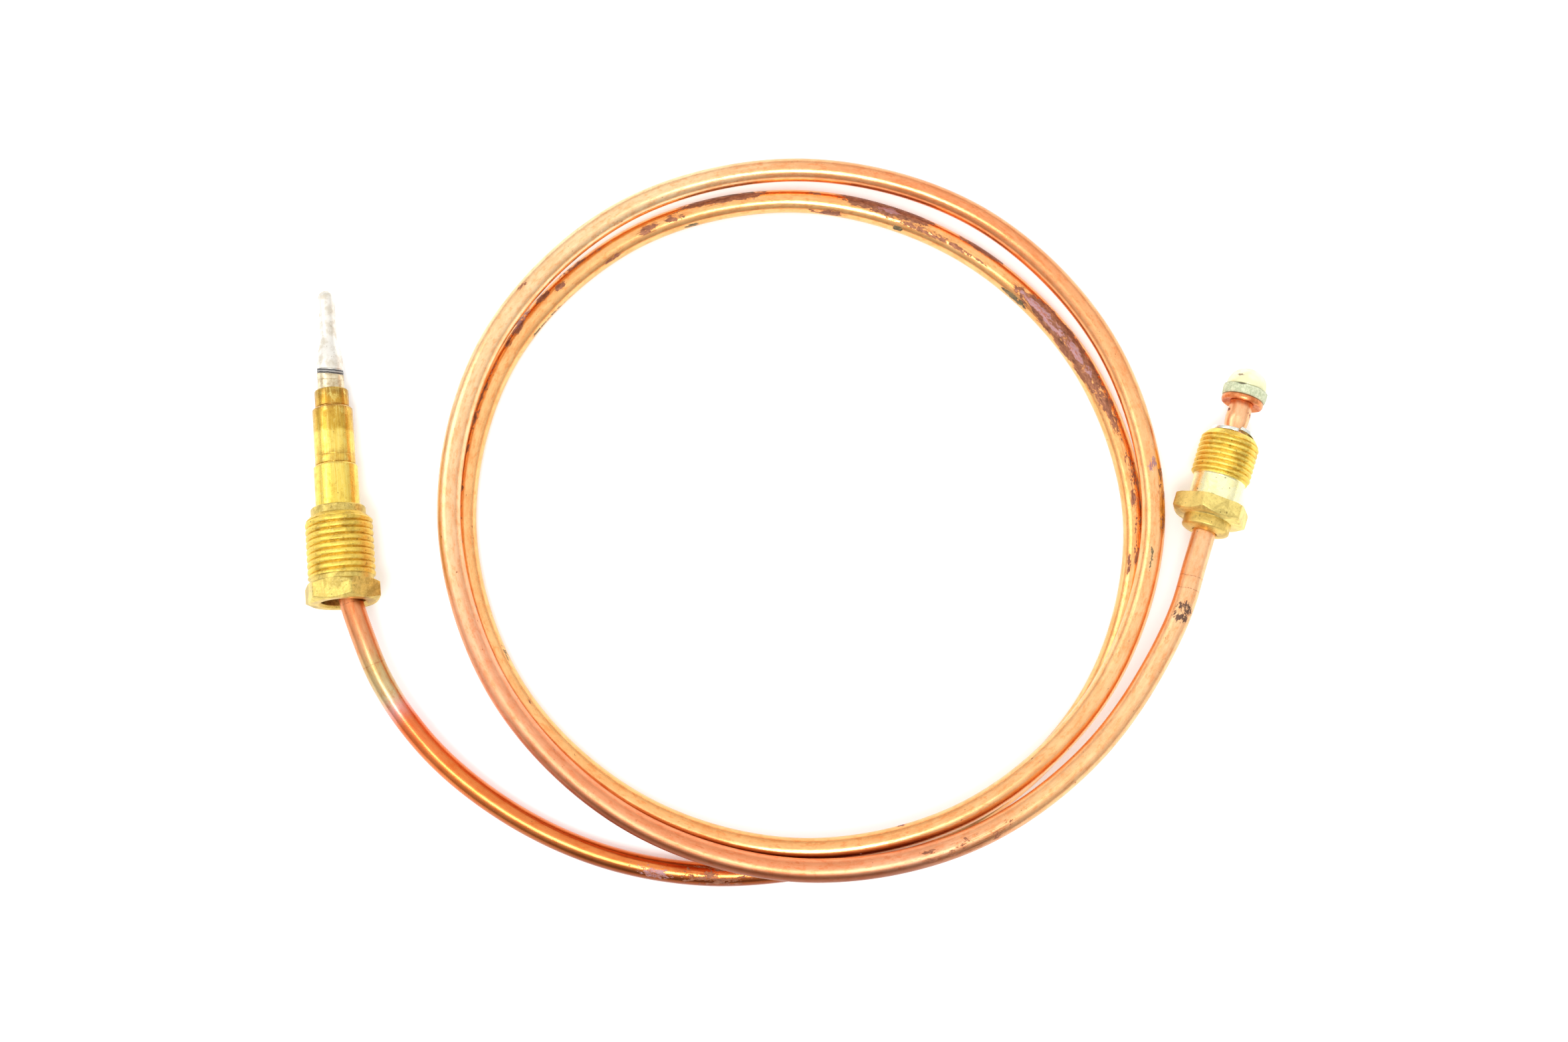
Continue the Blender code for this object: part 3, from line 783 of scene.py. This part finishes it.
# Rings scored round the tube, at unwrapped coil degrees
SCORED = [187.0, 190.4, 198.6, 1069.6, 1071.5]
DARK_SPOTS = [(2.1, 25, 0.55), (1.9, 162, 0.45)]  # on the stem: distance from the end, side, size
SPOT_COVER = 0.75
PROBE_DEGREE = 183  # where the lead leaves the probe, round the coil
TUBE_COLUMNS = 32
TUBE_ROW = 0.5  # between the tube's cross-sections


def along_table(places, stops):
    """Values along the lead, read between (degrees, value or values) stops."""
    degrees = [stop[0] for stop in stops]
    values = np.array([stop[1] for stop in stops], float)
    if values.ndim == 1:
        return np.interp(places, degrees, values)
    return np.stack([np.interp(places, degrees, column) for column in values.T], axis=1)


def wrapped(degrees):
    """The same angles, between -180 and 180."""
    return np.mod(degrees + 180, 360) - 180


def bell(x):
    return np.exp(-(x**2))


def coil_degrees(line):
    """The angle of each point of the lead round the coil, counted on from the probe's end."""
    centre = line[:, :2] - COIL_CENTRE
    degrees = np.degrees(np.unwrap(np.arctan2(centre[:, 1], centre[:, 0])))
    return degrees + 360 * round((PROBE_DEGREE - degrees[0]) / 360)


def tube_radius(height, side):
    """The stem in front of the connector nut is squeezed in beside a slight bulge, and dented.
    Height is on the connector's axis."""
    squeeze = 0.36 * bell((height - 16.1) / 0.75) - 0.05 * bell((height - 18.4) / 0.9)
    dent = 0.22 * bell((height[:, None] - 17.3) / 0.5) * bell(np.radians(wrapped(side - 100)) / 0.42)
    return TUBE_RADIUS - squeeze[:, None] - dent


def tube_tone(degrees, side):
    """The clean copper's colour at points given by coil degrees and side. On the front quarter the
    outer shoulder is browner with painted shade, standing in for the dim front it reflects, and the
    inner one more orange."""
    front = np.clip(1.3 - ((np.mod(degrees, 360) - 262) / 44) ** 2, 0, 1)
    front_shade = front * np.clip(1.5 - ((wrapped(side) - 34) / 34) ** 2, 0, 1)
    warmer = front * np.clip(1.5 - ((wrapped(side) - 140) / 35) ** 2, 0, 1)
    tone = along_table(degrees, TONES)
    # Painted shade on the front quarter's outer shoulder
    tone *= 1 - front_shade[:, None] * (0.62, 0.70, 0.72)
    tone *= 1 - warmer[:, None] * (0.02, 0.12, 0.22)
    return tone


def tube_stains(degrees, side, from_end):
    """How far each kind of stain covers each point; the looks' noise makes the outlines ragged."""
    stains = np.full((len(degrees), 4), -0.02)

    def spread(kind, cover, falloff):
        stains[:, kind] = np.maximum(stains[:, kind], cover * np.clip(1.35 - falloff, -1, 1))

    for middle_degree, half_length, facing, half_width, cover, kind in PATCHES:
        away = wrapped(side - facing)
        spread(kind, cover, ((degrees - middle_degree) / half_length) ** 2 + (away / half_width) ** 2)
    for at, facing, size in DARK_SPOTS:
        away = np.radians(wrapped(side - facing)) * TUBE_RADIUS
        spread(BROWN, SPOT_COVER, (away / size) ** 2 + ((from_end - at) / size) ** 2)
    return stains


def make_tube():
    line = lead_line(TUBE_ROW)
    rows = len(line)
    tangent = np.gradient(line, axis=0)
    tangent /= np.linalg.norm(tangent, axis=1)[:, None]
    up = np.array((0, 0, 1)) - tangent * tangent[:, 2:]
    up /= np.linalg.norm(up, axis=1)[:, None]
    out = np.cross(tangent, up)
    side = np.arange(TUBE_COLUMNS) * 360 / TUBE_COLUMNS
    across, upward = np.cos(np.radians(side)), np.sin(np.radians(side))
    travelled = run_length(line)
    degrees = coil_degrees(line)
    from_end = travelled[-1] - travelled

    radius = tube_radius(TUBE_END - from_end, side)
    spokes = across[None, :, None] * out[:, None] + upward[None, :, None] * up[:, None]
    points = (line[:, None] + radius[..., None] * spokes).reshape(-1, 3)
    faces = ring_faces(rows, TUBE_COLUMNS, False)
    faces += [tuple(range(TUBE_COLUMNS))]
    faces += [tuple(range(len(points) - 1, len(points) - TUBE_COLUMNS - 1, -1))]

    at_degrees, at_side = np.repeat(degrees, TUBE_COLUMNS), np.tile(side, rows)
    at_length = np.repeat(travelled, TUBE_COLUMNS)
    stains = tube_stains(at_degrees, at_side, np.repeat(from_end, TUBE_COLUMNS))
    attributes = {
        "local_mm": np.stack(
            [at_length, np.tile(across * TUBE_RADIUS, rows), np.tile(upward * TUBE_RADIUS, rows)], axis=1
        ),
        "tone": tube_tone(at_degrees, at_side),
        "matte": along_table(at_degrees, MATTE),
        "stains": stains[:, :INK],
        "ink": stains[:, INK],
    }
    look = copper_look([float(np.interp(at, degrees, travelled)) for at in SCORED])
    tube = make_piece(
        "copper_tube", points, faces, "lead_assembly", "lead_tube", look, attributes
    )


# ---------------------------------------------------------------- nuts

DULL, THREAD, POLISHED = 0.0, 1.0, 2.0
ACROSS_FLATS = 10.0
CORNER = 0.06  # rounding of the hexagon's corners
EDGE = 0.08  # rounding between two surfaces of revolution
CHAMFER_EDGE = 0.10
BORE_FILLET = 0.06
# How much painted shade the bore gets
BORE_SHADE = 0.4
NUT_COLUMNS = 180
NUT_ROW = 0.05


def smooth_min(a, b, size):
    """The lesser of two radii with the edge between them rounded."""
    share = np.clip(0.5 + 0.5 * (b - a) / size, 0, 1)
    return b * (1 - share) + a * share - size * share * (1 - share)


def thread_height(z, angle, pitch, start, fullness):
    """0 in the narrow root and 1 on the rounded crest of a right-hand thread."""
    phase = np.mod((z - start) / pitch - angle / (2 * math.pi), 1.0)
    return np.sqrt(np.clip(1 - np.abs(2 * phase - 1) ** fullness, 0, 1))


def hexagon(angle, turn):
    """Radius of a hexagon with rounded corners; turn is where one flat faces, from local Y."""
    away = np.mod(angle - math.radians(90 + turn) + math.pi / 6, math.pi / 3) - math.pi / 6
    flat = ACROSS_FLATS / 2 / np.cos(away)
    return smooth_min(flat, np.full_like(flat, ACROSS_FLATS / math.sqrt(3) - CORNER), CORNER)


def nut_piece(name, axis, node, material, top, skin, bore):
    """A nut as one skin from its top down to its rear face, joined to its bore."""
    skin_z = np.append(np.arange(top, NUT_ROW / 2, -NUT_ROW), 0.0)
    outline = [(1.0, z) for z in skin_z] + fillet(bore, BORE_FILLET, 3, closed=False)
    count = len(skin_z)

    def shape(radius, angle, height):
        # Painted shade in the bore; the skin's rows take the skin's own values
        root = np.full_like(radius, BORE_SHADE)
        finish = np.full_like(radius, DULL)
        radius[:count], root[:count], finish[:count] = skin(angle[:count], height[:count])
        return radius, height, {"root": root, "finish": finish}

    lathe(name, outline, axis, node, node, material, NUT_COLUMNS, True, shape)


PROBE_NUT_TOP = 14.3


def probe_nut_skin(angle, z):
    """Radius, painted shade in the roots and finish: a chamfered hexagon, a neck, M10x1 and a plain nose."""
    neck, nose_start, nose_joined = 4.62, 12.9, 13.15
    hexa = hexagon(angle, -8.5)
    hexa = smooth_min(hexa, 4.75 + z * 1.75, CHAMFER_EDGE)
    hexa = smooth_min(hexa, 5.15 + (2.95 - z) * 1.6, CHAMFER_EDGE)
    root, major = 4.42, 4.93
    rise = thread_height(z, angle, 1.0, 4.2, 2.5)
    thread = root + (major - root) * rise
    thread = smooth_min(thread, 4.05 + np.maximum(13.1 - z, -0.2), EDGE)
    shoulder = smooth_min(np.full_like(z, neck), 4.36 + np.maximum(4.2 - z, 0) * 0.9, EDGE)
    nose = smooth_min(np.full_like(z, 4.0), 3.85 + (PROBE_NUT_TOP - z), EDGE)
    nose = np.maximum(nose, np.where(z < nose_joined, np.minimum(thread, 4.2), 0))
    radius = np.where(z > 3.75, thread, shoulder)
    radius = np.where(z > nose_start, nose, radius)
    radius = np.where(z < 3.0, np.maximum(hexa, neck), radius)
    # Painted shade in the thread's roots
    painted_shade = np.where((z > 3.9) & (z < 13), 1 - rise, 0.0)
    return radius, painted_shade, np.where((z > 3.8) & (z <= 13.1), THREAD, DULL)


def make_probe_nut(material):
    bore = [(4.6, 0.0), (3.62, 0.0), (3.22, 0.35), (3.22, 9.0), (1.95, 10.5), (1.95, PROBE_NUT_TOP)]
    bore.append((3.8, PROBE_NUT_TOP))
    nut_piece("threaded_probe_nut", PROBE, "probe_nut", material, PROBE_NUT_TOP, probe_nut_skin, bore)


CONNECTOR_NUT_TOP = 15.15
UNEF_PITCH = 25.4 / 32


def connector_nut_skin(angle, z):
    """Radius, painted shade (in the thread's roots and on the collar) and finish: a round collar, a
    chamfered hexagon, a plain shank and a thread that fades in from it."""
    shank, hexagon_low, hexagon_high = 3.75, 2.0, 4.6
    hexa = hexagon(angle, 9.0)
    hexa = smooth_min(hexa, 4.75 + (z - hexagon_low) * 1.75, CHAMFER_EDGE)
    hexa = smooth_min(hexa, 5.35 + (4.62 - z) * 2.2, CHAMFER_EDGE)
    root, major = 3.90, 4.365
    rise = thread_height(z, angle, UNEF_PITCH, 8.4, 1.7)
    fade = np.clip((z - 8.1) / 0.7, 0, 1)
    thread = shank + (root + (major - root) * rise - shank) * fade
    thread = smooth_min(thread, 3.62 + (CONNECTOR_NUT_TOP - z) * 0.75, EDGE)
    collar = 3.5 * np.sqrt(np.clip(1 - np.maximum(0, (0.62 - z) / 0.78) ** 2, 0, 1))
    radius = np.where(z >= hexagon_high, thread, hexa)
    radius = np.where(z < hexagon_low, collar, radius)
    # Painted shade in the thread's roots, fading in with the thread
    painted_shade = np.where((z > 8.4) & (z < 14.6), (1 - rise) * fade, 0.0)
    # Painted shade over the whole collar
    painted_shade = np.where(z < 1.95, 0.9, painted_shade)
    return radius, painted_shade, np.where(z > 8.25, THREAD, np.where(z < 4.65, DULL, POLISHED))


def make_connector_nut(material):
    bore = [(2.06, 0.0), (1.79, 0.16), (1.79, CONNECTOR_NUT_TOP), (3.5, CONNECTOR_NUT_TOP)]
    nut_piece(
        "threaded_connector_nut",
        CONNECTOR,
        "connector_nut",
        material,
        CONNECTOR_NUT_TOP,
        connector_nut_skin,
        bore,
    )


# ---------------------------------------------------------------- probe


def tilted(radius, angle, height):
    """The seam and the rims beside it sit a little askew."""
    rise = SEAM_TILT[0] * np.cos(angle) + SEAM_TILT[1] * np.sin(angle)
    return radius, height + rise * bell((height - SEAM_BAND[0]) / 1.3), {}


def lead_piece(name, node, axis, material, outline, columns, closed=True, shape=None):
    """A turned piece that is fixed to the lead."""
    lathe(name, outline, axis, "lead_assembly", node, material, columns, closed, shape)


def ease(t):
    return t * t * (3 - 2 * t)


def make_sheath(material):
    """The hot tip, its slim waist, the S-shaped flare and the sheath up to the seam."""
    tip, bulb, waist, wide = 47.9, 1.23, 1.17, SHEATH_RADIUS
    waist_length, flare_start, flare_length = 2.6, 41.1, 4.9
    outline = []
    for angle in np.linspace(0, math.pi / 2, 12):
        outline.append((bulb * math.sin(angle), tip - bulb + bulb * math.cos(angle)))
    for t in np.linspace(0.1, 1, 8):
        outline.append((bulb - (bulb - waist) * ease(t), tip - bulb - waist_length * t))
    for t in np.linspace(0, 1, 24):
        outline.append((waist + (wide - waist) * ease(t), flare_start - flare_length * t))
    low = SEAM_BAND[1] + 0.02
    outline += [(wide, 35.9), (wide, low + 0.12), (wide, low), (1.5, low), (1.5, 36.5), (0, 36.5)]
    lead_piece(
        "probe_sheath", "hot_junction_sheath", PROBE, material, outline, 48, False, tilted
    )


def make_sleeve(material):
    wide, bore, top, low = SHEATH_RADIUS, 1.45, SEAM_BAND[0] - 0.02, 26.5
    groove, groove_low, groove_high, slope = 1.90, 33.80, 33.88, 0.06
    outline = [
        (wide, top),
        (wide, groove_high + slope),
        (groove, groove_high),
        (groove, groove_low),
        (wide, groove_low - slope),
        (wide, low),
        (bore, low),
        (bore, top),
    ]
    outline = fillet(outline, 0.03)
    lead_piece(
        "probe_sleeve", "sheath_sleeve", PROBE, material, outline, 48, shape=tilted
    )


def make_seam(material):
    low, top = SEAM_BAND
    ridge, groove = 1.955, 1.90
    steps = [
        (ridge, 0.0),
        (groove, 0.12),
        (groove, 0.22),
        (ridge, 0.34),
        (ridge, 0.66),
        (groove, 0.76),
        (groove, 0.86),
        (ridge, 1.0),
    ]
    outline = fillet([(r, top - (top - low) * t) for r, t in steps] + [(1.5, low), (1.5, top)], 0.03)
    lead_piece("braze_seam", None, PROBE, material, outline, 48, shape=tilted)


def make_body(material):
    """Front ring, middle step with a groove, and rear step, with the sleeve's and tube's bores."""
    outline = [
        (2.02, 32.3),
        (2.34, 32.3),
        (2.50, 32.1),
        (2.50, 29.75),
        (2.42, 29.66),
        (2.42, 29.5),
        (2.72, 29.5),
        (2.95, 29.25),
        (2.95, 22.08),
        (2.90, 22.0),
        (2.95, 21.92),
        (2.95, 20.86),
        (2.84, 20.8),
        (2.84, 20.68),
        (3.08, 20.66),
        (3.22, 20.45),
        (3.22, 14.35),
        (1.76, 14.35),
        (1.76, 18.9),
        (1.5, 18.9),
        (1.5, 26.2),
        (2.02, 26.2),
    ]
    outline = spaced(fillet(outline, 0.06), 1.2)
    lead_piece("stepped_body", "probe_body", PROBE, material, outline, 64)


# ---------------------------------------------------------------- connector end


def make_washer(material):
    """A split ring of rectangular section. One end stands up beside the other."""
    gap_middle, opening, rise, middle = 97.0, 6.0, 0.40, 15.60
    outer, inner, half = 3.26, 2.2, 0.26
    section = fillet([(outer, half), (outer, -half), (inner, -half), (inner, half)], 0.09, 3)
    turns = np.linspace(0, 1, 121)
    points = []
    for t in turns:
        angle = math.radians(gap_middle + opening / 2 + (360 - opening) * t)
        for r, z in section:
            points.append((r * math.cos(angle), r * math.sin(angle), middle + z + rise * (1 - t) ** 5))
    count = len(section)
    faces = [tuple(reversed(f)) for f in ring_faces(len(turns), count, False)]
    faces += [tuple(range(count - 1, -1, -1)), tuple(range(len(points) - count, len(points)))]
    local = np.array(points)
    node, attributes = "spring_washer", {"local_mm": local}
    make_piece(
        "split_washer", place(CONNECTOR, local), faces, node, node, material, attributes
    )


def make_flange(material):
    outline = [
        (1.70, 21.28),
        (2.95, 21.28),
        (3.10, 21.10),
        (3.12, 20.72),
        (2.98, 20.44),
        (2.72, 20.40),
        (2.30, 20.62),
        (1.70, 20.72),
    ]
    outline = fillet(outline, 0.10)
    lead_piece("dished_flange", "end_flange", CONNECTOR, material, outline, 56)


def pressed(radius, angle, height):
    """The fibre washer's rim is a little wavy, and so is its upper face."""
    rim, upper = radius > 2.0, height > 22
    wave = 1 + rim * (0.010 * np.sin(5 * angle + 0.6) + 0.008 * np.sin(9 * angle + 2 * height))
    lift = rim * (0.05 * np.sin(3 * angle + 0.4) + 0.03 * np.sin(7 * angle))
    return radius * wave, height + lift * upper, {}


def make_insulating_washer(material):
    top, low, bore = 22.86, 21.32, 0.6
    outline = [(bore, top), (3.10, top), (3.27, 22.70), (3.29, 22.2), (3.24, 21.50), (3.12, low), (bore, low)]
    outline = spaced(fillet(outline, 0.08), 0.35)
    lead_piece(
        "fibre_washer",
        "insulating_washer",
        CONNECTOR,
        material,
        outline,
        72,
        shape=pressed,
    )


def make_button(material):
    low, top, radius, skirt = 22.84, 26.0, 2.95, 0.5
    recess = (0.8, top - 1.2)
    dome = top - low - skirt
    outline = [(0.0, top)]
    for angle in np.linspace(0, math.pi / 2, 16)[1:]:
        outline.append((radius * math.sin(angle) ** 0.92, low + skirt + dome * math.cos(angle)))
    outline += [(radius, low + 0.25), (radius - 0.06, low + 0.05), (radius - 0.2, low)]
    outline += [(recess[0], low), recess, (0.0, recess[1])]
    lead_piece("solder_button", "contact_button", CONNECTOR, material, outline, 48, False)


# ---------------------------------------------------------------- build the pieces

make_tube()
make_probe_nut(
    nut_brass_look(
        "probe_nut_brass",
        dull=(srgb(232, 206, 112), srgb(206, 180, 98)),
        thread=(srgb(244, 212, 96), srgb(228, 194, 88)),
    )
)
make_connector_nut(
    nut_brass_look(
        "connector_nut_brass",
        dull=(srgb(246, 222, 134), srgb(226, 202, 118)),
        thread=(srgb(253, 226, 112), srgb(244, 208, 94)),
        # Near-white tones for the polished shank and collar: painted sheen
        polished_sheen=(srgb(255, 250, 202), srgb(255, 243, 176)),
    )
)
make_sheath(sheath_look())
make_sleeve(plain_look("sleeve_steel", srgb(228, 214, 182), srgb(192, 172, 136), 1.2, 0.36))
make_seam(seam_look())
make_body(body_brass_look())
make_washer(plain_look("washer_steel", srgb(240, 241, 232), srgb(206, 208, 196), 0.9, 0.26, depth=0.000008))
make_flange(plain_look("flange_copper", srgb(240, 158, 104), srgb(208, 116, 66), 0.9, 0.36))
make_insulating_washer(fibre_look())
make_button(button_look())

# The CAD's own inner nodes: two colours, roughness and metallic
INNER_LOOKS = {
    "constantan_leg": (srgb(196, 178, 160), srgb(160, 142, 124), 0.35, 1.0),
    "probe_insulator": (srgb(236, 230, 216), srgb(214, 206, 188), 0.7, 0.0),
    "cold_junction_splice": (srgb(206, 204, 198), srgb(168, 164, 156), 0.35, 1.0),
    "lead_insulation": (srgb(232, 226, 206), srgb(196, 188, 166), 0.8, 0.0),
    "lead_conductor": (srgb(236, 164, 120), srgb(204, 120, 80), 0.3, 1.0),
}
for node, (light, dark, roughness, metallic) in INNER_LOOKS.items():
    slots = frame["nodes"][node].material_slots
    slots[0].material = plain_look(node + "_finish", light, dark, 1.5, roughness, metallic, attribute=False)

# ---------------------------------------------------------------- floor, light and camera

AIM = Vector((COIL_CENTRE[0] - 2.44, COIL_CENTRE[1] + 0.05, 5.0)) * MM
FLOOR_HALF = 1.5
FLOOR_GAP = 0.00005
CAMERA_PLACE = (0.0, -0.04075, 0.3577)

corners = [(x * FLOOR_HALF, y * FLOOR_HALF, 0) for x, y in ((-1, -1), (1, -1), (1, 1), (-1, 1))]
floor_mesh = bpy.data.meshes.new("floor")
floor_mesh.from_pydata(corners, [], [(0, 1, 2, 3)])
floor = bpy.data.objects.new("floor", floor_mesh)
bpy.context.scene.collection.objects.link(floor)
floor.location.z = min(cad_bounds[0].z, 0.0) - FLOOR_GAP
paper = Look("floor_paper", 0.0)
paper.colour((0.95, 0.955, 0.965))
paper.set("Roughness", 0.9)
paper.set("Specular IOR Level", 0.2)
paper.set("Emission Color", (0.97, 0.985, 1.0))
paper.set("Emission Strength", 0.24)
floor_mesh.materials.append(paper.material)

world = bpy.data.worlds.new("studio")
bpy.context.scene.world = world
world.use_nodes = True
sky = world.node_tree
background = sky.nodes["Background"]


def sky_band(value, low, high, start, end):
    node = sky.nodes.new("ShaderNodeMapRange")
    node.interpolation_type = "SMOOTHSTEP"
    sky.links.new(value, node.inputs["Value"])
    for name, setting in (("From Min", low), ("From Max", high), ("To Min", start), ("To Max", end)):
        node.inputs[name].default_value = setting
    return node.outputs["Result"]


# A pale room, dimmer towards the horizon and dimmest on its front side
direction = sky.nodes.new("ShaderNodeTexCoord").outputs["Generated"]
parts = sky.nodes.new("ShaderNodeSeparateXYZ")
sky.links.new(direction, parts.inputs[0])
by_height = sky_band(parts.outputs["Z"], 0.0, 0.75, 0.72, 1.16)
by_side = sky_band(parts.outputs["Y"], -1.0, 0.05, 0.58, 1.0)
brightness = sky.nodes.new("ShaderNodeMath")
brightness.operation = "MULTIPLY"
sky.links.new(by_height, brightness.inputs[0])
sky.links.new(by_side, brightness.inputs[1])
sky.links.new(brightness.outputs[0], background.inputs["Color"])


def put_facing_aim(item, offset):
    """Links an object and stands it off the aim, looking back at it."""
    bpy.context.scene.collection.objects.link(item)
    item.location = AIM + Vector(offset)
    item.rotation_euler = (-Vector(offset)).to_track_quat("-Z", "Y").to_euler()


def soft_light(name, offset, size, watts):
    light = bpy.data.lights.new(name, "AREA")
    light.energy = watts
    light.size = size
    put_facing_aim(bpy.data.objects.new(name, light), offset)


soft_light("soft_box", (-0.08, -0.34, 0.94), 0.28, 3.1)
soft_light("side_light", (-0.75, 0.20, 0.66), 0.55, 1.4)

camera_data = bpy.data.cameras.new("camera")
camera_data.lens = 56.3
camera_data.clip_start = 0.01
camera_data.clip_end = 20.0
camera = bpy.data.objects.new("camera", camera_data)
put_facing_aim(camera, CAMERA_PLACE)
bpy.context.scene.camera = camera
bpy.context.scene.view_settings.view_transform = "Standard"
